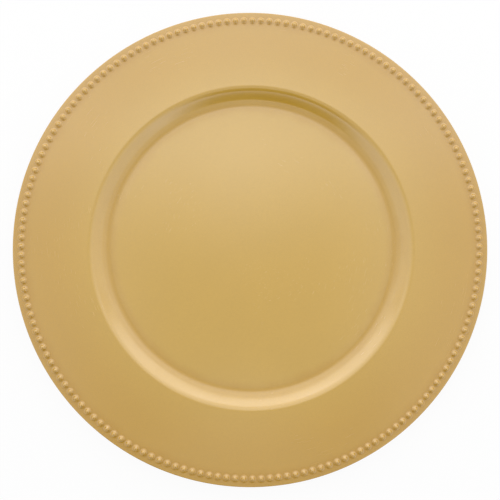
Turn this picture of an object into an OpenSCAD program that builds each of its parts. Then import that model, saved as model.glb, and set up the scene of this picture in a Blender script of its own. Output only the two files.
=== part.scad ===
// Round charger plate with a flat well, a wide shallow rim and a ring of beads at its edge.
// Origin: the centre of the foot, on the table. +Z is up. All sizes in millimetres.
// The plate is one thin moulded shell. It is drawn here in regions that meet face to face:
// the floor, the foot ring under it, the wall, the rim, the edge and the beads.

/* [Plate] */
// Overall diameter across the round edge
plate_d = 330; // [290:1:360]
// Thickness of the moulded shell
wall_t = 2.4; // [1.8:0.1:3]

/* [Foot ring] */
// Height of the foot ring under the floor
foot_h = 1.6; // [1:0.1:3]
// Width of the foot ring's flat face
foot_w = 3; // [2:0.1:6]
// Distance from the foot ring to the outer end of the flat floor
foot_inset = 2; // [1:0.1:6]

/* [Well] */
// Diameter of the flat floor
floor_d = 188.8; // [150:0.1:200]
// Depth from the floor to the inner end of the rim
well_depth = 7.2; // [6:0.1:12]
// Slope of the shallow dip round the floor, in degrees
dip_slope = 2; // [0.5:0.5:4]
// Radius of the soft bend from the floor down into the dip
dip_r = 86; // [40:1:100]
// Width of the dip's straight side, seen from above
dip_w = 1.9; // [0.4:0.1:4]
// Radius of the hollow curve that leads from the dip into the wall
sweep_r = 10.6; // [6:0.1:18]
// Slope at the inner end of the narrow, softly rounded ledge, in degrees
ledge_foot_slope = 23; // [21:0.5:28]
// Slope at the outer end of the ledge, in degrees
ledge_top_slope = 20.5; // [16:0.5:20.5]
// Radius of the ledge
ledge_r = 26; // [10:1:60]
// Radius of the crease between the ledge and the wall
crease_r = 7; // [2:0.5:14]
// Slope at the foot of the wall, in degrees
wall_foot_slope = 37.5; // [32:0.5:40]
// Slope at the top of the wall, in degrees
wall_top_slope = 46; // [42:0.5:52]
// Radius of the rounded shoulder between the wall and the rim
shoulder_r = 6.1; // [4:0.1:8]

/* [Rim] */
// Slope of the rim, in degrees
rim_slope = 2; // [1:0.5:8]
// Radius of the soft bend between the rim and the level band under the beads
bend_r = 16; // [6:1:30]
// Width of the level band between that bend and the beads
inner_margin = 0.15; // [0.1:0.05:4]
// Width of the level band between the beads and the rounded corner of the edge
outer_margin = 2.35; // [1:0.05:5]
// Radius of the two rounded corners of the outer edge
edge_round = 0.6; // [0.2:0.1:0.8]

/* [Beads] */
// Diameter of a bead's flared foot where it meets the band
bead_d = 5.7; // [5:0.1:5.8]
// Height of a bead above the band
bead_h = 1.9; // [1.7:0.1:2.1]
// Radius of the ball that makes a bead's upper part
bead_ball_r = 1.5; // [1.3:0.1:1.6]
// Slope of the flared foot, in degrees
flare_slope = 22; // [16:1:26]
// Distance between the middles of two neighbouring beads, about
bead_pitch = 5.95; // [5.9:0.01:9]

/* [Hidden] */
gold = [0.83, 0.68, 0.42];
gold_under = [0.76, 0.60, 0.34];
$fn = 144;

// Steps in each curve of the cross-section
dip_steps = 3;
sweep_steps = 10;
ledge_steps = 3;
crease_steps = 6;
wall_steps = 4;
shoulder_steps = 12;
bend_steps = 4;
corner_steps = 6;

// The shell's cross-section is followed from the middle outwards along its upper side.
// A station is [radius, height, slope in degrees] of a point on that side.

// The station reached from s by a straight run of width w, seen from above
function run(s, w) = [s[0] + w, s[1] + w * tan(s[2]), s[2]];

// The station reached from s by a curve of radius r that ends at slope a
function curve_point(s, a, r) =
    let (side = sign(a - s[2]))
    [s[0] + side * r * (sin(a) - sin(s[2])), s[1] + side * r * (cos(s[2]) - cos(a)), a];

// All stations of that curve, its first point included
function curve(s, a, r, steps) =
    [for (i = [0 : steps]) curve_point(s, s[2] + (a - s[2]) * i / steps, r)];

// The point on the underside that faces station s, one wall thickness below it
function below(s) = [s[0] + wall_t * sin(s[2]), s[1] - wall_t * cos(s[2])];

// The point of station s itself
function above(s) = [s[0], s[1]];

function last(list) = list[len(list) - 1];

// A list without its first item, for a curve that starts where the one before it ends
function after_first(list) = [for (i = [1 : len(list) - 1]) list[i]];

// Stations of the well
floor_top = foot_h + wall_t;
floor_end = [floor_d / 2, floor_top, 0];
dip = curve(floor_end, -dip_slope, dip_r, dip_steps);
dip_end = run(last(dip), dip_w);
sweep = curve(dip_end, ledge_foot_slope, sweep_r, sweep_steps);
ledge = curve(last(sweep), ledge_top_slope, ledge_r, ledge_steps);
crease = curve(last(ledge), wall_foot_slope, crease_r, crease_steps);

// The wall is a gentle hollow curve that rises as far as the crease and the shoulder leave it
shoulder_rise = shoulder_r * (cos(rim_slope) - cos(wall_top_slope));
wall_rise = floor_top + well_depth - shoulder_rise - last(crease)[1];
wall_r = wall_rise / (cos(wall_foot_slope) - cos(wall_top_slope));
wall = curve(last(crease), wall_top_slope, wall_r, wall_steps);
shoulder = curve(last(wall), rim_slope, shoulder_r, shoulder_steps);

// The outer edge has two rounded corners, and the beads stand inside it
corner_mid_r = plate_d / 2 - edge_round;
bead_ring_r = corner_mid_r - outer_margin - bead_d / 2;

// Stations of the rim and the level band
band_start_r = bead_ring_r - bead_d / 2 - inner_margin;
bend_run = bend_r * sin(rim_slope);
rim_start = last(shoulder);
rim_end = run(rim_start, band_start_r - bend_run - rim_start[0]);
bend = curve(rim_end, 0, bend_r, bend_steps);
band_start = last(bend);
band_top = band_start[1];

// The ring has a whole number of beads, as near to the wanted pitch as it comes
bead_count = round(2 * PI * bead_ring_r / bead_pitch);

// The flared foot ends inside the ball, at this share of the ball's radius
flare_top_share = 0.8;
flare_top_r = flare_top_share * bead_ball_r;
flare_h = (bead_d / 2 - flare_top_r) * tan(flare_slope);

// The foot ring's outer radius
foot_r = floor_d / 2 - foot_inset;

// A quarter round of the outer edge that starts at angle a and turns clockwise round mid
function corner(mid, a) =
    [for (i = [0 : corner_steps])
        let (turned = a - 90 * i / corner_steps)
        mid + edge_round * [cos(turned), sin(turned)]];

// A ring of shell between the first and the last of a list of stations
module shell(stations) {
    rotate_extrude()
        polygon(concat(
            [for (s = stations) above(s)],
            [for (i = [len(stations) - 1 : -1 : 0]) below(stations[i])]
        ));
}

// The flat floor that a dinner plate stands on
module well_floor() {
    color(gold)
        translate([0, 0, foot_h])
            cylinder(h = wall_t, r = floor_d / 2);
}

// The ring that the plate stands on
module foot_ring() {
    color(gold_under)
        rotate_extrude()
            translate([foot_r - foot_w, 0])
                square([foot_w, foot_h]);
}

// The wall of the well: shallow dip, hollow curve, ledge, crease, steep wall and rounded shoulder
module well_wall() {
    color(gold)
        shell(concat(
            dip, sweep, after_first(ledge), after_first(crease), after_first(wall),
            after_first(shoulder)
        ));
}

// The wide rim, with the soft bend at its outer end
module rim() {
    color(gold)
        shell(concat([rim_start], bend));
}

// The level band under the beads, with the rounded corners of the outer edge
module beaded_edge() {
    color(gold)
        rotate_extrude()
            polygon(concat(
                [below(band_start), above(band_start)],
                corner([corner_mid_r, band_top - edge_round], 90),
                corner([corner_mid_r, band_top - wall_t + edge_round], 0)
            ));
}

// One bead: a ball, cut flat where it stands on the band, in a low flared foot
module bead() {
    union() {
        intersection() {
            translate([0, 0, bead_h - bead_ball_r])
                sphere(r = bead_ball_r, $fn = 24);
            translate([-bead_d, -bead_d, 0])
                cube([2 * bead_d, 2 * bead_d, 2 * bead_h]);
        }
        cylinder(h = flare_h, r1 = bead_d / 2, r2 = flare_top_r, $fn = 24);
    }
}

// The closed ring of beads
module beads() {
    color(gold)
        for (i = [0 : bead_count - 1])
            rotate([0, 0, 360 * i / bead_count])
                translate([bead_ring_r, 0, band_top])
                    bead();
}

well_floor();
foot_ring();
well_wall();
rim();
beaded_edge();
beads();
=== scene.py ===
# %% [markdown]
# # A gold charger plate with a beaded edge
#
# This lesson dresses a finished CAD model of a charger plate: the wide, shallow plate that stays
# on the table under a dinner plate. The real one is a single thin shell of moulded plastic,
# sprayed with a satin gold lacquer. The CAD model gives the exact sizes. Here each region of the
# shell is drawn again as a smooth surface, gets its lacquer, and is lit and seen as in a studio
# photograph taken from almost straight above.
#
# The frame comes first. It holds the CAD nodes, and everything that follows is placed by them.

# %% Load the frame
import math

import bpy
import numpy as np
from mathutils import Matrix, Vector


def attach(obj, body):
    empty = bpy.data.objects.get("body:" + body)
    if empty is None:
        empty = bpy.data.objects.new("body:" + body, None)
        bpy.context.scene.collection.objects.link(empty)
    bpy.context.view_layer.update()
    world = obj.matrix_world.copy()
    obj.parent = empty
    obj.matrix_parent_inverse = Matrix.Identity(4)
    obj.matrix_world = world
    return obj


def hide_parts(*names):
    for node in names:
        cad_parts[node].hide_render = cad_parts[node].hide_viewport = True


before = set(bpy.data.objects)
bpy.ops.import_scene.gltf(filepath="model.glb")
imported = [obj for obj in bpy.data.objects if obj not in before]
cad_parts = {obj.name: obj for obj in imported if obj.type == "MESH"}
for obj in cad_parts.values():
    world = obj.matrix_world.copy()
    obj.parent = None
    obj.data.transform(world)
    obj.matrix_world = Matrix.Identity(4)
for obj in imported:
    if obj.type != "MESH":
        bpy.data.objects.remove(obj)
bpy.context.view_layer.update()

# %% [markdown]
# ## The sizes that the plate is drawn from
#
# A plate is round, so four numbers say where each node lies: its inner and outer radius and its
# lowest and highest point. They are measured on the node's own vertices. A vertex lies exactly
# on the CAD circle, while the corner of a box round the facets may fall a little inside it.

# %% Measure the CAD nodes
MM = 0.001


def node_points(node):
    """The x, y and z of all vertices of a CAD node, in metres."""
    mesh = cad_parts[node].data
    flat = np.empty(3 * len(mesh.vertices), np.float32)
    mesh.vertices.foreach_get("co", flat)
    return flat.reshape(-1, 3).T.astype(float)


def span(node):
    """The inner radius, outer radius, lowest and highest point of a CAD node, in metres."""
    x, y, z = node_points(node)
    r = np.hypot(x, y)
    return r.min(), r.max(), z.min(), z.max()


_, floor_r, floor_under, floor_top = span("well_floor")
foot_in_r, foot_out_r, foot_low, foot_high = span("foot_ring")
band_start_r, plate_r, _, band_top = span("beaded_edge")
bead_in_r, bead_out_r, _, bead_top = span("beads")

wall_t = floor_top - floor_under
bead_foot_r = (bead_out_r - bead_in_r) / 2
bead_ring_r = (bead_out_r + bead_in_r) / 2
print(f"plate {2 * plate_r / MM:.1f} mm across and {bead_top / MM:.2f} mm high, wall {wall_t / MM:.2f} mm")
print(f"beads {2 * bead_foot_r / MM:.2f} mm across on a circle of radius {bead_ring_r / MM:.2f} mm")

# %% [markdown]
# ## The cross-section as a walk
#
# A potter's template for this plate would be one smooth line from the middle to the edge. It is
# easiest to describe as a walk: so far straight on, then a bend of this radius until the path
# climbs at that slope. Each stop is a station with a radius, a height and a slope.
#
# A bend could take even steps. Its steps are finer at both ends instead, because two pieces of
# the plate meet there: the last facet then has nearly the slope of its neighbour, and no line
# shows across the join in the lacquer.

# %% Walk along a straight run and round a bend
def straight(start, width, steps):
    """Stations at even steps along a straight line that keeps the start's slope:
    height = start height + distance from the start x tan(slope)."""
    r0, z0, slope = start
    r = np.linspace(r0, r0 + width, steps + 1)
    return np.column_stack([r, z0 + (r - r0) * math.tan(slope), np.full_like(r, slope)])


def bend(start, slope_to, radius, steps):
    """Stations along an arc that turns from the start's slope to another one. A point of the arc
    is the arc's centre plus the radius times (sin slope, -cos slope), mirrored where it turns
    down. The slope goes as half of (1 - cos of an angle) from 0 to 180 degrees, so that it
    starts and ends gently."""
    r0, z0, slope = start
    share = (1 - np.cos(np.linspace(0, np.pi, steps + 1))) / 2
    a = slope + (slope_to - slope) * share
    side = math.copysign(1, slope_to - slope)
    r = r0 + side * radius * (np.sin(a) - math.sin(slope))
    z = z0 + side * radius * (math.cos(slope) - np.cos(a))
    return np.column_stack([r, z, a])


def join_stations(*runs):
    """One list of stations from several that start where the one before ended."""
    return np.vstack([runs[0]] + [run[1:] for run in runs[1:]])


# %% [markdown]
# The well is where the light plays. From the flat floor the path dips by a tenth of a
# millimetre, sweeps up into a narrow ledge, bends again at a crease and climbs the wall, which
# grows a little steeper towards its top. A rounded shoulder brings it back to the rim.

# %% The stations of the well
well_depth = 7.2 * MM
dip_slope, dip_r, dip_w = math.radians(-2), 86 * MM, 1.9 * MM
sweep_r = 10.6 * MM
ledge_foot_slope, ledge_top_slope, ledge_r = math.radians(23), math.radians(20.5), 26 * MM
crease_r = 7 * MM
wall_foot_slope, wall_top_slope = math.radians(37.5), math.radians(46)
shoulder_r = 6.1 * MM
rim_slope = math.radians(2)

floor_end = np.array([floor_r, floor_top, 0.0])
dip = bend(floor_end, dip_slope, dip_r, 4)
dip_side = straight(dip[-1], dip_w, 1)
sweep = bend(dip_side[-1], ledge_foot_slope, sweep_r, 20)
ledge = bend(sweep[-1], ledge_top_slope, ledge_r, 4)
crease = bend(ledge[-1], wall_foot_slope, crease_r, 8)
shoulder_rise = shoulder_r * (math.cos(rim_slope) - math.cos(wall_top_slope))
wall_rise = floor_top + well_depth - shoulder_rise - crease[-1][1]
wall_r = wall_rise / (math.cos(wall_foot_slope) - math.cos(wall_top_slope))
wall = bend(crease[-1], wall_top_slope, wall_r, 8)
shoulder = bend(wall[-1], rim_slope, shoulder_r, 28)
well_walk = join_stations(dip, dip_side, sweep, ledge, crease, wall, shoulder)
print(f"wall radius {wall_r / MM:.1f} mm, the shoulder ends at {shoulder[-1][0] / MM:.2f} mm")

# %% [markdown]
# In the CAD the rim ends in a soft bend, and the band that carries the beads is level. The
# photograph speaks for a band that goes on rising like the rim: its shading is too even from
# the top of the picture to the bottom for a level one. So here the rim runs on to the edge,
# which lifts the edge by 0.3 mm.

# %% The stations of the rim
rim_walk = straight(shoulder[-1], band_start_r - shoulder[-1][0], 12)
band_start = rim_walk[-1]


def band_height(r):
    """Height of the band's upper side: height of its start + distance from it x tan(slope)."""
    return band_start[1] + (r - band_start_r) * math.tan(rim_slope)


print(f"the walk reaches the band at {band_start[1] / MM:.3f} mm, the CAD says {band_top / MM:.3f} mm")

# %% [markdown]
# ## From a cross-section to a closed shell
#
# A shape turned on a wheel is a grid of two parameters: how far along the cross-section, and how
# far round the axis. All points come out of one multiplication of whole arrays. The grid closes
# on itself round the axis. A ring-shaped region closes along its cross-section too, and the
# floor, which reaches the axis, closes in a fan of triangles at each pole.

# %% Put points and faces into a mesh
SHARP = math.radians(35)


def put_mesh(name, points, corners, sizes, finish_index):
    """A mesh from a list of points, the corners of all faces in a row, how many corners each
    face has, and the material slot of each face. Edges sharper than 35 degrees stay crisp."""
    mesh = bpy.data.meshes.new(name)
    mesh.vertices.add(len(points))
    mesh.vertices.foreach_set("co", points.astype(np.float32).ravel())
    mesh.loops.add(len(corners))
    mesh.loops.foreach_set("vertex_index", corners.astype(np.int32))
    mesh.polygons.add(len(sizes))
    mesh.polygons.foreach_set("loop_start", (np.cumsum(sizes) - sizes).astype(np.int32))
    mesh.polygons.foreach_set("material_index", finish_index.astype(np.int32))
    mesh.polygons.foreach_set("use_smooth", np.ones(len(sizes), bool))
    mesh.update(calc_edges=True)
    mesh.set_sharp_from_angle(angle=SHARP)
    piece = bpy.data.objects.new(name, mesh)
    bpy.context.scene.collection.objects.link(piece)
    return piece


def signed_volume(piece):
    """The volume inside a closed mesh: a sixth of the sum, over its triangles, of the triple
    product of their corners. It is negative where the faces point inwards."""
    mesh = piece.data
    mesh.calc_loop_triangles()
    tri = np.empty(3 * len(mesh.loop_triangles), np.int32)
    mesh.loop_triangles.foreach_get("vertices", tri)
    co = np.empty(3 * len(mesh.vertices), np.float32)
    mesh.vertices.foreach_get("co", co)
    a, b, c = co.reshape(-1, 3)[tri.reshape(-1, 3)].astype(float).transpose(1, 0, 2)
    return np.einsum("ij,ij->i", a, np.cross(b, c)).sum() / 6


def report(piece):
    """Prints what a finished piece measures. A volume below what its sizes give, or a negative
    one, would mean faces that point inwards."""
    faces, volume = len(piece.data.polygons), signed_volume(piece) * 1e6
    print(f"{piece.name}: {len(piece.data.vertices)} points, {faces} faces, {volume:.2f} cm3")


# %% [markdown]
# The underside of the shell is the same walk, one wall thickness lower, measured square to the
# path. A face whose strip runs outwards looks up and gets the finish of the upper side; one
# whose strip runs back inwards looks down and gets the finish of the underside. There are three
# steps round the axis for each of the 168 beads, enough for an edge that looks round.

# %% Turn a cross-section round the axis
AROUND = 504


def shell_section(stations):
    """The closed cross-section of a shell: the stations outwards, then their partners on the
    underside back inwards. A partner lies one wall thickness away, square to the slope."""
    r, z, slope = stations.T
    under = np.column_stack([r + wall_t * np.sin(slope), z - wall_t * np.cos(slope)])
    return np.vstack([stations[:, :2], under[::-1]])


def turned_points(section, around):
    """Grid point (i, j) is section point j turned by i steps round the axis: with the angle a of
    step i it lies at (r cos a, r sin a, z)."""
    a = np.linspace(0, 2 * np.pi, around, endpoint=False)[:, None]
    r, z = section.T
    return np.stack([r * np.cos(a), r * np.sin(a), z + 0 * a], -1).reshape(-1, 3)


def section_starts(around, count):
    """The number of the first point of each turned section, and of the section next to it."""
    i = np.arange(around)[:, None]
    return i * count, (i + 1) % around * count


def quads_between(here, there, j, after):
    """A face for every section point j: on to the point after it, across to the next section and
    back. Where the section runs outwards such a face looks up."""
    return np.stack([here + j, here + after, there + after, there + j], -1).reshape(-1, 4)


def looks_down(r, r_after):
    """For each face of a turned shape, whether its strip of the section runs back inwards."""
    return np.broadcast_to(r_after <= r + 1e-9, (AROUND, len(r))).ravel()


def turned(name, section):
    """A ring-shaped solid of revolution: both directions of its grid close on themselves."""
    count = len(section)
    here, there = section_starts(AROUND, count)
    j = np.arange(count)[None, :]
    quads = quads_between(here, there, j, (j + 1) % count)
    finish = looks_down(section[:, 0], np.roll(section[:, 0], -1))
    points = turned_points(section, AROUND)
    piece = put_mesh(name, points, quads.ravel(), np.full(len(quads), 4), finish)
    report(piece)
    return piece


def turned_disc(name, section):
    """A solid of revolution whose section starts and ends on the axis. Between those two points
    it is the same grid, open along the section, and each of them becomes one pole with a fan of
    triangles."""
    grid = turned_points(section[1:-1], AROUND)
    poles = np.array([[0, 0, section[0][1]], [0, 0, section[-1][1]]])
    top, bottom = len(grid), len(grid) + 1
    r = section[1:-1, 0]
    end = len(r) - 1
    here, there = section_starts(AROUND, len(r))
    j = np.arange(end)[None, :]
    quads = quads_between(here, there, j, j + 1)
    fan_top = np.column_stack([np.full(AROUND, top), here[:, 0], there[:, 0]])
    fan_low = np.column_stack([np.full(AROUND, bottom), there[:, 0] + end, here[:, 0] + end])
    corners = np.concatenate([quads.ravel(), fan_top.ravel(), fan_low.ravel()])
    sizes = np.concatenate([np.full(len(quads), 4), np.full(2 * AROUND, 3)])
    finish = np.concatenate([looks_down(r[:-1], r[1:]), np.repeat([False, True], AROUND)])
    piece = put_mesh(name, np.vstack([grid, poles]), corners, sizes, finish)
    report(piece)
    return piece


# %% [markdown]
# ## The floor of the well
#
# The floor is a flat disc, and a plain cylinder would do for its upper side. Under it the real
# moulding has a mark where the plastic was let into the mould: a shallow round recess with the
# small stub of the inlet in its middle. It is drawn as a profile, so that it is real geometry.

# %% Floor with its inlet mark
mark_r = 6 * MM
mark_depth = 0.5 * MM
mark_edge = 0.6 * MM
stub_r = 1.1 * MM
stub_h = 0.35 * MM


def soft_step(t):
    """0 below 0, 1 above 1, and 3 t^2 - 2 t^3 between."""
    t = np.clip(t, 0, 1)
    return t * t * (3 - 2 * t)


def inlet_mark():
    """The underside from the middle outwards: floor height + depth of the recess x a soft step
    down from 1 to 0 across its edge, - height of the stub x a soft step across the stub's."""
    r = np.concatenate([np.linspace(0, 2 * stub_r, 9), np.linspace(mark_r - mark_edge, mark_r, 7)])
    recess = mark_depth * (1 - soft_step((r - mark_r + mark_edge) / mark_edge))
    stub = stub_h * (1 - soft_step(r / stub_r - 0.5))
    return np.column_stack([r, floor_under + recess - stub])


upper_rings = np.linspace(0, floor_r, 6)
upper = np.column_stack([upper_rings, np.full_like(upper_rings, floor_top)])
lower_rings = np.linspace(floor_r, mark_r, 6)[:-1]
lower = np.column_stack([lower_rings, np.full_like(lower_rings, floor_under)])
floor_piece = turned_disc("floor_disc", np.vstack([upper, lower, inlet_mark()[::-1]]))

# %% [markdown]
# ## Wall, rim and edge
#
# These three are one unbroken surface on the real plate. They are cut where the CAD nodes are
# cut, square to the shell, and meet face to face. The outer corners of the edge are rounded
# just enough not to be sharp. A narrow strip of band lies next to each corner, so that the
# smooth shading of the corner stays out of the wide band.

# %% Wall and rim
wall_piece = turned("wall_ring", shell_section(well_walk))
rim_piece = turned("rim_ring", shell_section(rim_walk))

# %% The edge and its rounded corners
CORNER_STEPS = 8


def rounded_corner(r, z, radius, start):
    """A quarter circle round (r, z): its points lie at the radius times (cos a, sin a), and a
    goes from the start, in degrees, 90 degrees clockwise."""
    a = math.radians(start) - np.linspace(0, np.pi / 2, CORNER_STEPS + 1)
    return np.column_stack([r + radius * np.cos(a), z + radius * np.sin(a)])


edge_round = 0.6 * MM
strip_w = 0.1 * MM
corner_r = plate_r - edge_round
edge_top = band_height(corner_r)
upper_corner = rounded_corner(corner_r, edge_top - edge_round, edge_round, 90)
lower_corner = rounded_corner(corner_r, edge_top - wall_t + edge_round, edge_round, 0)
band_walk = straight(band_start, corner_r - strip_w - band_start_r, 2)
upper_band, lower_band = np.split(shell_section(band_walk), 2)
edge_section = np.vstack([upper_band, upper_corner, lower_corner, lower_band])
edge_piece = turned("edge_ring", edge_section)

# %% [markdown]
# ## The foot ring
#
# Nobody sees the foot until the plate is turned over. A moulded foot has no knife edges: its
# two lower corners are rounded, so that it comes out of the mould and doesn't scratch a table.

# %% Foot ring with rounded lower corners
foot_round = 0.6 * MM
outer_corner = rounded_corner(foot_out_r - foot_round, foot_low + foot_round, foot_round, 0)
inner_corner = rounded_corner(foot_in_r + foot_round, foot_low + foot_round, foot_round, -90)
foot_top = np.array([[foot_in_r, foot_high], [foot_out_r, foot_high]])
foot_piece = turned("foot_ring_piece", np.vstack([foot_top, outer_corner, inner_corner]))

# %% [markdown]
# ## The beads
#
# The ring of 168 beads is the plate's one ornament. In the photograph a bead has no corner at
# its foot: it is a ball only at its top and then spreads like a bell. The CAD draws that as a
# ball in a straight, flared foot. Here an arc of a like ball runs into a wide hollow fillet.
# The bead is as wide at its foot as the CAD bead and reaches as high. Twelve sides are enough
# for something that is a few millimetres across, and all the beads together are one array:
# the same bead, turned by as many steps as there are beads.

# %% One bead
BEAD_SIDES = 12
fillet_r = 1.6 * MM
bead_h = bead_top - band_height(bead_ring_r)


def bead_outline(ball_steps, fillet_steps):
    """Radius and height above the band, from the bead's top to its foot. The ball's radius is
    (foot radius^2 + height^2) / (2 height) less the fillet's radius, and the two arcs meet where
    the line between their centres crosses them."""
    ball_r = (bead_foot_r ** 2 + bead_h ** 2) / (2 * bead_h) - fillet_r
    ball_z = bead_h - ball_r
    turn = math.atan2(bead_foot_r, fillet_r - ball_z)
    a = np.linspace(0, turn, ball_steps + 1)
    ball = np.column_stack([ball_r * np.sin(a), ball_z + ball_r * np.cos(a)])
    b = np.linspace(turn, 0, fillet_steps + 1)[1:]
    fillet = np.column_stack([bead_foot_r - fillet_r * np.sin(b), fillet_r - fillet_r * np.cos(b)])
    return np.vstack([ball, fillet])


def one_bead():
    """The points of a bead on the origin, and its faces: rings of quads from the outline turned
    round the bead's own axis, a fan at the top, and one flat face with twelve corners below."""
    outline = bead_outline(5, 4)
    rings = turned_points(outline[1:], BEAD_SIDES)
    n = len(outline) - 1
    here, there = section_starts(BEAD_SIDES, n)
    j = np.arange(n - 1)[None, :]
    quads = quads_between(here, there, j, j + 1)
    fan = np.column_stack([np.full(BEAD_SIDES, len(rings)), here[:, 0], there[:, 0]])
    base = here[::-1, 0] + n - 1
    corners = np.concatenate([quads.ravel(), fan.ravel(), base])
    sizes = np.concatenate([np.full(len(quads), 4), np.full(BEAD_SIDES, 3), [BEAD_SIDES]])
    return np.vstack([rings, [[0, 0, outline[0][1]]]]), corners, sizes


# %% The ring of beads
def count_round_the_axis(node, above, least_gap):
    """How many separate lumps stand in a ring: the angles of all vertices above a height are
    sorted, and every step from one to the next that is wider than the least gap is the space
    between two lumps. Low down the beads nearly touch, so the height is half of theirs."""
    x, y, z = node_points(node)
    angle = np.sort(np.arctan2(y, x)[z > above])
    steps = np.append(np.diff(angle), angle[0] + 2 * np.pi - angle[-1])
    return int((steps > least_gap).sum())


def bead_ring(count):
    """Every bead at once: point p of bead k is the single bead's point, moved out by the ring's
    radius, turned round the plate's axis by k / count of a full turn, and lifted by the height
    of the band below it, so that the foot follows the slope."""
    points, corners, sizes = one_bead()
    turn = np.arange(count)[:, None] * 2 * np.pi / count
    x, y, z = points.T
    out = bead_ring_r + x
    ring = np.stack([out * np.cos(turn) - y * np.sin(turn),
                     out * np.sin(turn) + y * np.cos(turn),
                     band_height(np.hypot(out, y)) + z + 0 * turn], -1)
    all_corners = (corners + np.arange(count)[:, None] * len(points)).ravel()
    all_sizes = np.tile(sizes, count)
    return put_mesh("bead_ring", ring.reshape(-1, 3), all_corners, all_sizes, np.zeros(len(all_sizes)))


half_way_up = bead_top - bead_h / 2
least_gap = 2.0 * MM / bead_ring_r
bead_count = count_round_the_axis("beads", half_way_up, least_gap)
beads_piece = bead_ring(bead_count)
print(f"{bead_count} beads, one every {2 * math.pi * bead_ring_r / bead_count / MM:.2f} mm")
report(beads_piece)

# %% [markdown]
# ## Writing nodes in short lines
#
# A material is a small program made of nodes. Placing and linking each node takes several lines
# in Blender's own terms, so helpers do it: one puts a node into a tree and feeds its inputs, and
# the others use it for a step of arithmetic, a soft ramp from 0 to 1, a blend of two colours and
# a change of tone. Group helpers make a node group with named sockets, for an effect that
# several materials use, and place it.

# %% Helpers for node trees
def put(tree, kind, inputs=(), **settings):
    """A node of that kind, with its settings and its inputs. An input is given by name or place
    and is a plain value or the socket that feeds it."""
    node = tree.nodes.new(kind)
    for name, value in settings.items():
        setattr(node, name, value)
    for key, value in dict(inputs).items():
        if isinstance(value, bpy.types.NodeSocket):
            tree.links.new(value, node.inputs[key])
        else:
            node.inputs[key].default_value = value
    return node


def calc(tree, operation, *values):
    """One step of arithmetic on sockets or numbers."""
    return put(tree, "ShaderNodeMath", enumerate(values), operation=operation).outputs[0]


def soft_ramp(tree, value, start, end):
    """0 where the value is at start or before it, 1 at end or after it, and a soft step
    between."""
    inputs = {"Value": value, "From Min": start, "From Max": end}
    return put(tree, "ShaderNodeMapRange", inputs, interpolation_type="SMOOTHSTEP").outputs[0]


def blend_color(tree, share, first, second):
    """The first colour where the share is 0, the second where it is 1."""
    inputs = {0: share, 6: first, 7: second}
    return put(tree, "ShaderNodeMix", inputs, data_type="RGBA").outputs[2]


def darken(tree, color, tone):
    """A colour times a tone round 1."""
    inputs = {0: color, 3: tone}
    return put(tree, "ShaderNodeVectorMath", inputs, operation="SCALE").outputs[0]


# %% A helper for node groups
FLOAT, VECTOR = "NodeSocketFloat", "NodeSocketVector"


def new_group(name, inputs, outputs):
    """An empty node group. The inputs are names with their first value, the outputs names with
    their kind. Gives the group, the sockets that bring values in and those that take them out."""
    group = bpy.data.node_groups.new(name, "ShaderNodeTree")
    for label, value in inputs.items():
        socket = group.interface.new_socket(label, in_out="INPUT", socket_type=FLOAT)
        socket.default_value = value
    for label, kind in outputs.items():
        group.interface.new_socket(label, in_out="OUTPUT", socket_type=kind)
    return group, group.nodes.new("NodeGroupInput").outputs, group.nodes.new("NodeGroupOutput").inputs


def use(tree, group, **values):
    """Places a group in a tree with its own values and gives its outputs."""
    inputs = {name.replace("_", " ").capitalize(): value for name, value in values.items()}
    return put(tree, "ShaderNodeGroup", inputs, node_tree=group).outputs


def object_point(tree):
    """The point that is shaded, in metres from the plate's origin."""
    return put(tree, "ShaderNodeTexCoord").outputs["Object"]


def polar(tree):
    """The same point as a distance from the axis and a height above the table, both in
    millimetres, and its angle round the axis."""
    x, y, z = put(tree, "ShaderNodeSeparateXYZ", {0: object_point(tree)}).outputs
    squares = calc(tree, "ADD", calc(tree, "MULTIPLY", x, x), calc(tree, "MULTIPLY", y, y))
    radius = calc(tree, "DIVIDE", calc(tree, "SQRT", squares), MM)
    return radius, calc(tree, "DIVIDE", z, MM), calc(tree, "ARCTAN2", y, x)


# %% [markdown]
# ## What gold lacquer is made of
#
# The gold is not metal but paint: fine mica flakes in a tinted clear lacquer, sprayed on and
# left to level. Three things follow from that, and a fourth is painted shade. The first three
# are a node group each, and the last takes two.
#
# - The flakes lie at slightly different tilts, so the surface sparkles finely when seen close.
# - The spray is never quite even, so the tone drifts a little from hand to hand.
# - The wet film levels under its own tension and dries with the faint skin of an orange.
# - Painted shade darkens the colour in the hollow at the foot of the wall, in the strip under
#   the beads and at the feet of the beads.

# %% Mica flakes
def flakes_group():
    """Cells a flake wide. Each has one random colour: its red sets the cell's tone to
    1 + depth x (red - 1/2), and all of it tilts the normal by tilt x (colour - 1/2)."""
    group, given, result = new_group("mica_flakes", {"Size": 0.3, "Depth": 0.1, "Tilt": 0.02},
                                     {"Tone": FLOAT, "Normal": VECTOR})
    per_metre = calc(group, "DIVIDE", 1 / MM, given["Size"])
    cell = put(group, "ShaderNodeTexVoronoi", {"Vector": object_point(group), "Scale": per_metre})
    color = cell.outputs["Color"]
    red = put(group, "ShaderNodeSeparateColor", {0: color}).outputs[0]
    swing = calc(group, "MULTIPLY", calc(group, "SUBTRACT", red, 0.5), given["Depth"])
    group.links.new(calc(group, "ADD", swing, 1.0), result["Tone"])
    centred = put(group, "ShaderNodeVectorMath", {0: color, 1: (0.5, 0.5, 0.5)}, operation="SUBTRACT")
    lean = put(group, "ShaderNodeVectorMath", {0: centred.outputs[0], 3: given["Tilt"]}, operation="SCALE")
    normal = put(group, "ShaderNodeNewGeometry").outputs["Normal"]
    sum_of = put(group, "ShaderNodeVectorMath", {0: normal, 1: lean.outputs[0]}, operation="ADD")
    unit = put(group, "ShaderNodeVectorMath", {0: sum_of.outputs[0]}, operation="NORMALIZE")
    group.links.new(unit.outputs[0], result["Normal"])
    return group


flakes = flakes_group()

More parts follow.
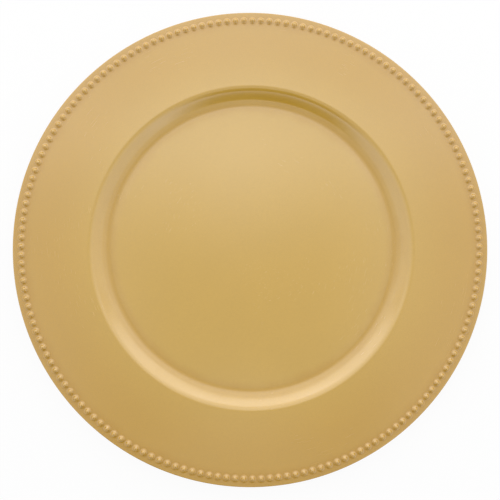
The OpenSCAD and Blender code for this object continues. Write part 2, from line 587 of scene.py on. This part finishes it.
# %% Drifts of the spray
def clouds_group():
    """Soft noise of one size, stretched so that the tone is 1 + depth x 2 (noise - 1/2)."""
    group, given, result = new_group("spray_clouds", {"Size": 40.0, "Depth": 0.03}, {"Tone": FLOAT})
    per_metre = calc(group, "DIVIDE", 1 / MM, given["Size"])
    inputs = {"Vector": object_point(group), "Scale": per_metre, "Detail": 3.0}
    noise = put(group, "ShaderNodeTexNoise", inputs).outputs["Fac"]
    swing = calc(group, "MULTIPLY", calc(group, "SUBTRACT", noise, 0.5), 2.0)
    tone = calc(group, "MULTIPLY_ADD", swing, given["Depth"], 1.0)
    group.links.new(tone, result["Tone"])
    return group


clouds = clouds_group()

# %% The orange skin
def orange_skin_group():
    """A height: noise of one size, plus a fifth as much at a quarter of that size."""
    group, given, result = new_group("orange_skin", {"Size": 2.5}, {"Height": FLOAT})
    per_metre = calc(group, "DIVIDE", 1 / MM, given["Size"])
    point = object_point(group)
    coarse = put(group, "ShaderNodeTexNoise", {"Vector": point, "Scale": per_metre}).outputs["Fac"]
    finer = calc(group, "MULTIPLY", per_metre, 4.0)
    fine = put(group, "ShaderNodeTexNoise", {"Vector": point, "Scale": finer}).outputs["Fac"]
    group.links.new(calc(group, "MULTIPLY_ADD", fine, 0.2, coarse), result["Height"])
    return group


orange_skin = orange_skin_group()

# %% [markdown]
# The painted shade follows the shape. On a turned piece a hollow is a circle, so the first group
# marks a circle of a given radius and fades on both sides. Its radius wanders a little with the
# angle. Round the beads the shade is painted as a collar. The second group finds the nearest
# bead by folding the angle into one bead's share of the circle, and gives the distance to that
# bead's middle.

# %% Painted shade along a circle
# A mask for painted shade: where it is 1, the colour is darkened.
def shade_circle_group():
    """1 on a circle of that radius, fading to 0 over the reach on either side. The circle
    wanders by (noise - 1/2) x the reach. All in millimetres."""
    group, given, result = new_group("shade_circle", {"Radius": 100.0, "Reach": 3.0}, {"Mask": FLOAT})
    radius, _, _ = polar(group)
    inputs = {"Vector": object_point(group), "Scale": 60.0}
    noise = put(group, "ShaderNodeTexNoise", inputs).outputs["Fac"]
    wander = calc(group, "MULTIPLY", calc(group, "SUBTRACT", noise, 0.5), given["Reach"])
    off = calc(group, "SUBTRACT", calc(group, "ADD", radius, wander), given["Radius"])
    share = calc(group, "DIVIDE", calc(group, "ABSOLUTE", off), given["Reach"])
    group.links.new(soft_ramp(group, share, 1.0, 0.0), result["Mask"])
    return group


shade_circle = shade_circle_group()

# %% Distance to the nearest bead
def bead_distance_group():
    """Millimetres from the point to the middle of the nearest bead, seen from above. The angle
    in bead steps, less its nearest whole number, is the way along the ring; the radius less the
    ring's is the way across."""
    group, _, result = new_group("bead_distance", {}, {"Distance": FLOAT})
    radius, _, angle = polar(group)
    steps = calc(group, "MULTIPLY", angle, bead_count / (2 * math.pi))
    off = calc(group, "SUBTRACT", steps, calc(group, "ROUND", steps))
    along = calc(group, "MULTIPLY", off, 2 * math.pi * bead_ring_r / bead_count / MM)
    across = calc(group, "SUBTRACT", radius, bead_ring_r / MM)
    across_square = calc(group, "MULTIPLY", across, across)
    squares = calc(group, "MULTIPLY_ADD", along, along, across_square)
    group.links.new(calc(group, "SQRT", squares), result["Distance"])
    return group


bead_distance = bead_distance_group()

# %% [markdown]
# A charger is stacked, wiped and has plates pushed about on it. That leaves hairlines that run
# round and round, too fine to see one by one: they only dull the gloss in arcs. The marks are
# noise that is drawn out along the circle, because it is read at the point's direction and at
# its radius, and the radius counts for much more.

# %% Rub marks
def rub_marks_group():
    """Noise at (12 cos angle, 12 sin angle, radius / width), cut so that only its peaks leave a
    mark, and faded by broad clouds so that some areas have none."""
    group, given, result = new_group("rub_marks", {"Width": 0.35}, {"Mask": FLOAT})
    radius, _, angle = polar(group)
    x = calc(group, "MULTIPLY", calc(group, "COSINE", angle), 12.0)
    y = calc(group, "MULTIPLY", calc(group, "SINE", angle), 12.0)
    z = calc(group, "DIVIDE", radius, given["Width"])
    where = put(group, "ShaderNodeCombineXYZ", {0: x, 1: y, 2: z}).outputs[0]
    lines = put(group, "ShaderNodeTexNoise", {"Vector": where, "Scale": 1.0}).outputs["Fac"]
    inputs = {"Vector": object_point(group), "Scale": 18.0}
    patches = put(group, "ShaderNodeTexNoise", inputs).outputs["Fac"]
    mask = calc(group, "MULTIPLY", soft_ramp(group, lines, 0.56, 0.72), soft_ramp(group, patches, 0.4, 0.62))
    group.links.new(mask, result["Mask"])
    return group


rub_marks = rub_marks_group()

# %% [markdown]
# ## The lacquers
#
# One function mixes every lacquer on the plate. It starts from a pale and a deep gold, blends
# them by a share, lays clouds and flakes over the colour, and gives the skin to a Bump node. On
# the underside and the foot the share is how thick the film is. On the upper side it is a
# deepening towards the rim with painted shade on top, and on the beads it is painted shade. What
# differs from place to place, the share and the gloss, is passed in as a function that adds its
# own nodes. The reflection itself is left to the shader: its index of refraction is high,
# because mica under lacquer mirrors far more light than plain plastic, and that light is white,
# not gold. The gold is only in the light that comes back from below.

# %% Mix a lacquer
FLAKE_MM = 0.3
SKIN_MM = 2.5


def lacquer(name, pale, deep, film_and_shade, roughness, ior, metallic, skin_um):
    """A gold lacquer. The first function gives a share from 0, the pale colour, to 1, the deep
    one: the thickness of the film on the underside and the foot, and a deepening with painted shade
    on the upper side and the beads. The second gives a roughness. skin_um is how deep the orange
    skin is, in thousandths of a millimetre."""
    material = bpy.data.materials.new(name)
    material.use_nodes = True
    tree = material.node_tree
    shader = tree.nodes["Principled BSDF"]
    shader.inputs["IOR"].default_value = ior
    shader.inputs["Metallic"].default_value = metallic

    flake = use(tree, flakes, size=FLAKE_MM, depth=0.10, tilt=0.016)
    drift = use(tree, clouds, size=45.0, depth=0.035)
    color = blend_color(tree, film_and_shade(tree), (*pale, 1), (*deep, 1))
    color = darken(tree, darken(tree, color, drift["Tone"]), flake["Tone"])
    tree.links.new(color, shader.inputs["Base Color"])
    tree.links.new(roughness(tree), shader.inputs["Roughness"])

    skin = use(tree, orange_skin, size=SKIN_MM)["Height"]
    inputs = {"Height": skin, "Distance": skin_um * MM * MM, "Strength": 1.0, "Normal": flake["Normal"]}
    bump = put(tree, "ShaderNodeBump", inputs)
    tree.links.new(bump.outputs[0], shader.inputs["Normal"])
    return material


# %% [markdown]
# The upper side gets the best coat. Its colour is paler on the floor and deeper towards the rim.
# Painted shade darkens it at the foot of the wall, in the strip that the beads stand on, and in
# a collar round each bead.

# %% Lacquer of the upper side
PALE_GOLD = (0.603, 0.362, 0.042)
DEEP_GOLD = (0.515, 0.270, 0.001)
MICA_IOR = 2.26
SATIN = 0.2
# The colour grows deeper from the floor towards the rim.
DEEPER_FROM_MM, DEEPER_TO_MM, DEEPER_ON_RIM = 95.0, 150.0, 0.65
# Painted shade: reach and strength of the darkening in the hollow, under the beads and round each bead.
HOLLOW_REACH_MM, HOLLOW_SHADE = 8.0, 0.55
STRIP_REACH_MM, STRIP_SHADE = 7.0, 0.45
COLLAR_MM, COLLAR_SHADE = 0.5, 0.35
hollow_mm = (sweep[0][0] + sweep[-1][0]) / 2 / MM
strip_mm = bead_ring_r / MM
bead_foot_mm = bead_foot_r / MM


def upper_tone_and_shade(tree):
    """A share that grows from nothing on the floor to its value on the rim, and on top of it
    painted shade, the strongest of three: in the hollow at the foot of the wall, in the strip
    under the beads and in the narrow collar outside each bead's foot."""
    radius, _, _ = polar(tree)
    deeper_outwards = calc(tree, "MULTIPLY", soft_ramp(tree, radius, DEEPER_FROM_MM, DEEPER_TO_MM), DEEPER_ON_RIM)
    in_hollow = use(tree, shade_circle, radius=hollow_mm, reach=HOLLOW_REACH_MM)["Mask"]
    hollow = calc(tree, "MULTIPLY", in_hollow, HOLLOW_SHADE)
    in_strip = use(tree, shade_circle, radius=strip_mm, reach=STRIP_REACH_MM)["Mask"]
    strip = calc(tree, "MULTIPLY", in_strip, STRIP_SHADE)
    distance = use(tree, bead_distance)["Distance"]
    near_bead = soft_ramp(tree, distance, bead_foot_mm + COLLAR_MM, bead_foot_mm)
    collar = calc(tree, "MULTIPLY", near_bead, COLLAR_SHADE)
    # Painted shade: the strongest of the three darkens the colour.
    painted_shade = calc(tree, "MAXIMUM", calc(tree, "MAXIMUM", hollow, strip), collar)
    return calc(tree, "ADD", deeper_outwards, painted_shade)


def upper_roughness(tree):
    """Satin, a little rougher where rubbing has dulled the lacquer."""
    return calc(tree, "MULTIPLY_ADD", use(tree, rub_marks, width=0.35)["Mask"], 0.08, SATIN)


upper_gold = lacquer("gold_lacquer_upper", PALE_GOLD, DEEP_GOLD, upper_tone_and_shade, upper_roughness,
                     ior=MICA_IOR, metallic=0.0, skin_um=1.5)

# %% [markdown]
# A bead is painted deeper in colour in the crevice at its foot, which is painted shade, and
# paler on the crown. Hands and cloths polish the crown smoother.

# %% Lacquer of the beads
foot_height = band_height(bead_ring_r)


def bead_painted_shade(tree):
    """1 at the foot of a bead, 0.7 from half its height upwards: painted shade in the crevice at the foot.
    """
    _, height, _ = polar(tree)
    low_down = soft_ramp(tree, height, (foot_height + 0.5 * bead_h) / MM, foot_height / MM)
    return calc(tree, "MULTIPLY_ADD", low_down, 0.3, 0.7)


def bead_roughness(tree):
    """Satin on the polished crown and 0.08 rougher in the crevice."""
    _, height, _ = polar(tree)
    crown = soft_ramp(tree, height, foot_height / MM, bead_top / MM)
    return calc(tree, "MULTIPLY_ADD", crown, -0.08, SATIN + 0.08)


bead_gold = lacquer("gold_lacquer_beads", PALE_GOLD, DEEP_GOLD, bead_painted_shade, bead_roughness,
                    ior=MICA_IOR, metallic=0.0, skin_um=0.8)

# %% [markdown]
# The underside gets one thin pass of the gun, aimed from outside. So the colour is fullest
# under the rim and thins towards the middle, where the tan of the plastic comes through, and
# the texture of the mould stays matt.

# %% Lacquer of the underside
THIN_GOLD = (0.50, 0.33, 0.10)
UNDER_GOLD = (0.50, 0.30, 0.055)
THIN_IOR = 1.6
THIN_METALLIC = 0.05
MATT = 0.46


def under_thickness(tree):
    """0 up to 40 mm from the middle, full from 120 mm."""
    radius, _, _ = polar(tree)
    return soft_ramp(tree, radius, 40.0, 120.0)


def under_roughness(tree):
    """Matt, with the drift of a single pass of spray."""
    drift = use(tree, clouds, size=12.0, depth=0.15)["Tone"]
    return calc(tree, "MULTIPLY", drift, MATT)


under_gold = lacquer("gold_lacquer_under", THIN_GOLD, UNDER_GOLD, under_thickness, under_roughness,
                     ior=THIN_IOR, metallic=THIN_METALLIC, skin_um=6.0)

# %% [markdown]
# The foot slides over tables. Where it touches, the lacquer is worn through to the soiled
# plastic in short, broken arcs, and a little higher up it stays whole.

# %% Lacquer of the foot
WORN_PLASTIC = (0.20, 0.125, 0.055)


def foot_thickness(tree):
    """1 on sound lacquer. Below 0.25 mm it drops to 0 wherever the rub marks are."""
    _, height, _ = polar(tree)
    touching = soft_ramp(tree, height, 0.25, 0.05)
    marks = use(tree, rub_marks, width=0.8)["Mask"]
    worn = calc(tree, "MULTIPLY", touching, soft_ramp(tree, marks, 0.05, 0.4))
    return calc(tree, "SUBTRACT", 1.0, worn)


def foot_roughness(tree):
    """0.5 everywhere, with broad drifts."""
    return calc(tree, "MULTIPLY", use(tree, clouds, size=8.0, depth=0.2)["Tone"], 0.5)


foot_gold = lacquer("gold_lacquer_foot", WORN_PLASTIC, UNDER_GOLD, foot_thickness, foot_roughness,
                    ior=THIN_IOR, metallic=THIN_METALLIC, skin_um=4.0)

# %% [markdown]
# ## Dressing the model
#
# Each piece now rides on the plate's one body and hides the CAD node that it replaces. A turned
# piece takes two lacquers, for the faces that look up and for those that look down. The foot ring
# takes the same one twice.

# %% Dress the pieces
def dress(piece, node, *materials):
    """The piece rides on the plate, takes the node's place and wears these materials."""
    for material in materials:
        piece.data.materials.append(material)
    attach(piece, "root")
    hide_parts(node)


dress(floor_piece, "well_floor", upper_gold, under_gold)
dress(wall_piece, "well_wall", upper_gold, under_gold)
dress(rim_piece, "rim", upper_gold, under_gold)
dress(edge_piece, "beaded_edge", upper_gold, under_gold)
dress(beads_piece, "beads", bead_gold)
dress(foot_piece, "foot_ring", foot_gold, foot_gold)

# %% [markdown]
# ## The paper under the plate
#
# The plate lies on white paper. To diffuse light the sheet is a plain white, which keeps the
# plate's soft shadow. To the camera, and in the plate's own reflections, most of it glows at
# strength 1, which is white. Seen from below it lets the camera through, so that the underside
# can be looked at. The glow is left out of the lamps that Cycles picks, because it must not
# light the plate.

# %% White paper
PAPER_HALF = 4.0
PAPER_GLOW = 0.92


def paper():
    """White to diffuse light; for rays from the camera and from mirrors it glows at a share of
    PAPER_GLOW; camera rays that reach its back pass through."""
    material = bpy.data.materials.new("white_paper")
    material.use_nodes = True
    material.cycles.emission_sampling = "NONE"
    tree = material.node_tree
    tree.nodes.clear()
    path = put(tree, "ShaderNodeLightPath").outputs
    back = put(tree, "ShaderNodeNewGeometry").outputs["Backfacing"]
    white = put(tree, "ShaderNodeBsdfDiffuse", {"Color": (0.9, 0.9, 0.9, 1)}).outputs[0]
    glow = put(tree, "ShaderNodeEmission", {"Strength": 1.0}).outputs[0]
    mirrors = calc(tree, "MAXIMUM", path["Is Glossy Ray"], path["Is Transmission Ray"])
    seen = calc(tree, "MAXIMUM", path["Is Camera Ray"], mirrors)
    share = calc(tree, "MULTIPLY", seen, PAPER_GLOW)
    sheet = put(tree, "ShaderNodeMixShader", {0: share, 1: white, 2: glow}).outputs[0]
    clear = put(tree, "ShaderNodeBsdfTransparent").outputs[0]
    from_below = calc(tree, "MULTIPLY", back, path["Is Camera Ray"])
    surface = put(tree, "ShaderNodeMixShader", {0: from_below, 1: sheet, 2: clear}).outputs[0]
    put(tree, "ShaderNodeOutputMaterial", {"Surface": surface})
    return material


def square_sheet(name, half, material):
    """A flat square on the table, centred on the plate, that looks up."""
    corners = half * np.array([[-1, -1, 0], [1, -1, 0], [1, 1, 0], [-1, 1, 0]])
    sheet = put_mesh(name, corners, np.arange(4), np.array([4]), np.zeros(1))
    sheet.data.materials.append(material)


square_sheet("paper_sheet", PAPER_HALF, paper())

# %% [markdown]
# ## The light tent
#
# Shiny tableware is photographed in a white tent, because a lamp would only show as a spot.
# What the lacquer mirrors is then the inside of the tent, and its brightness has to be drawn:
# a tent lit from behind is bright at the back, goes through a soft edge overhead and is dimmer
# in front, and the opening that the plate goes in by leaves a dark shape there.
#
# The tent is a dome with an emission that depends on direction only, written with soft ramps.
# x points to the right of the picture, y to its top and z up, and each goes from -1 to 1. Some
# ramps run over y with a share of x taken off, which bends the edge of a glow towards the
# sides. The camera doesn't see the tent.

# %% How bright the tent is in each direction
EVEN_CLOTH = 0.54


def tent_brightness(tree):
    """The even cloth, plus the paler cloth in front, plus a wide glow behind the plate, less the
    frame across the back, plus the bright back wall below it, plus a glow at both sides and one
    more at each; all of it times what the dark shape in front lets through."""
    unit = put(tree, "ShaderNodeVectorMath", {0: object_point(tree)}, operation="NORMALIZE")
    x, y, z = put(tree, "ShaderNodeSeparateXYZ", {0: unit.outputs[0]}).outputs
    aside = calc(tree, "ABSOLUTE", x)
    ahead = calc(tree, "MULTIPLY_ADD", aside, -0.64, calc(tree, "MULTIPLY", y, -1.0))
    behind = calc(tree, "MULTIPLY_ADD", aside, -0.27, y)
    low_behind = calc(tree, "MULTIPLY_ADD", x, -0.04, y)
    pale_front = 0.22, soft_ramp(tree, ahead, 0.18, 0.28)
    wide_glow = 1.49, soft_ramp(tree, behind, -0.07, 0.455)
    frame_across = -0.67, soft_ramp(tree, y, 0.26, 0.36)
    back_wall = 0.67, soft_ramp(tree, low_behind, 0.765, 0.945)
    both_sides = 0.27, soft_ramp(tree, aside, 0.20, 0.76)
    right_side = 0.22, soft_ramp(tree, x, 0.22, 0.31)
    left_side = 0.21, soft_ramp(tree, x, -0.13, -0.38)
    total = EVEN_CLOTH
    parts = pale_front, wide_glow, frame_across, back_wall, both_sides, right_side, left_side
    for strength, mask in parts:
        total = calc(tree, "MULTIPLY_ADD", mask, strength, total)
    return calc(tree, "MULTIPLY", total, calc(tree, "SUBTRACT", 1.0, dark_shape(tree, x, y, z)))


def dark_shape(tree, x, y, z):
    """A soft-edged patch in front that takes 0.89 of the light. It fades out sideways between 20
    and 45 degrees from its middle, below between 24 and 18 degrees above the table, and above
    between 59.5 and 66 degrees."""
    middle = math.radians(263)
    side_full, side_out = math.cos(math.radians(20)), math.cos(math.radians(45))
    low_full, low_out = math.sin(math.radians(24)), math.sin(math.radians(18))
    high_full, high_out = math.sin(math.radians(59.5)), math.sin(math.radians(66))
    level = calc(tree, "SQRT", calc(tree, "SUBTRACT", 1.0, calc(tree, "MULTIPLY", z, z)))
    ahead = calc(tree, "MULTIPLY_ADD", x, math.cos(middle), calc(tree, "MULTIPLY", y, math.sin(middle)))
    width = soft_ramp(tree, calc(tree, "DIVIDE", ahead, level), side_out, side_full)
    low = soft_ramp(tree, z, low_out, low_full)
    high = soft_ramp(tree, z, high_out, high_full)
    patch = calc(tree, "MULTIPLY", calc(tree, "MULTIPLY", width, low), high)
    return calc(tree, "MULTIPLY", patch, 0.89)


# %% Put up the tent
TENT_R = 1.2


def tent_fabric():
    """Emission with the tent's brightness."""
    material = bpy.data.materials.new("tent_fabric")
    material.use_nodes = True
    tree = material.node_tree
    tree.nodes.clear()
    glow = put(tree, "ShaderNodeEmission", {"Strength": tent_brightness(tree)})
    put(tree, "ShaderNodeOutputMaterial", {"Surface": glow.outputs[0]})
    return material


def dome(name, radius, around, up, material):
    """Half a ball on the table, open below: its section is the radius times (cos e, sin e), with
    the elevation e. The top ring stays a hundredth of a degree open, so that it needs no pole."""
    e = np.linspace(0, math.radians(89.99), up + 1)
    points = turned_points(radius * np.column_stack([np.cos(e), np.sin(e)]), around)
    here, there = section_starts(around, up + 1)
    j = np.arange(up)[None, :]
    quads = quads_between(here, there, j, j + 1)
    tent = put_mesh(name, points, quads.ravel(), np.full(len(quads), 4), np.zeros(len(quads)))
    tent.data.materials.append(material)
    tent.visible_camera = False


dome("light_tent", TENT_R, 48, 12, tent_fabric())

# %% [markdown]
# ## The camera
#
# The photograph is taken from nearly straight above, at a distance only a little more than the
# plate's own width, a touch to the lower left. That is why the beads show more of their inner
# sides than their outer ones, and why the well looks shifted against the edge. The aim is the
# point that lies in the middle of the picture. The distance, tilt and aim were found by
# matching the outline, the circle of the beads and the shoulder.

# %% Camera
IMAGE_PX = 500
FOCAL_PX = 574.4
camera_distance = 400 * MM
camera_tilt = math.radians(2.8)
camera_side = math.radians(-126)
aim = Vector((-1.67, -2.28, 11.8)) * MM

camera_data = bpy.data.cameras.new("camera")
camera_data.lens = camera_data.sensor_width * FOCAL_PX / IMAGE_PX
camera_data.clip_start = 10 * MM
camera = bpy.data.objects.new("camera", camera_data)
bpy.context.scene.collection.objects.link(camera)
bpy.context.scene.camera = camera

out = camera_distance * math.sin(camera_tilt)
place = Vector((out * math.cos(camera_side), out * math.sin(camera_side),
                camera_distance * math.cos(camera_tilt) + aim.z))
ahead = (aim - place).normalized()
to_right = ahead.cross(Vector((0, 1, 0))).normalized()
turn = Matrix((to_right, to_right.cross(ahead), -ahead)).transposed().to_4x4()
camera.matrix_world = Matrix.Translation(place) @ turn
print(f"lens {camera_data.lens:.2f} mm, camera {place.z / MM:.0f} mm above the table")

# %% World and view
world = bpy.data.worlds.new("studio")
bpy.context.scene.world = world
world.use_nodes = True
world.node_tree.nodes["Background"].inputs["Color"].default_value = (1, 1, 1, 1)
world.node_tree.nodes["Background"].inputs["Strength"].default_value = 1.0
bpy.context.scene.view_settings.view_transform = "Standard"
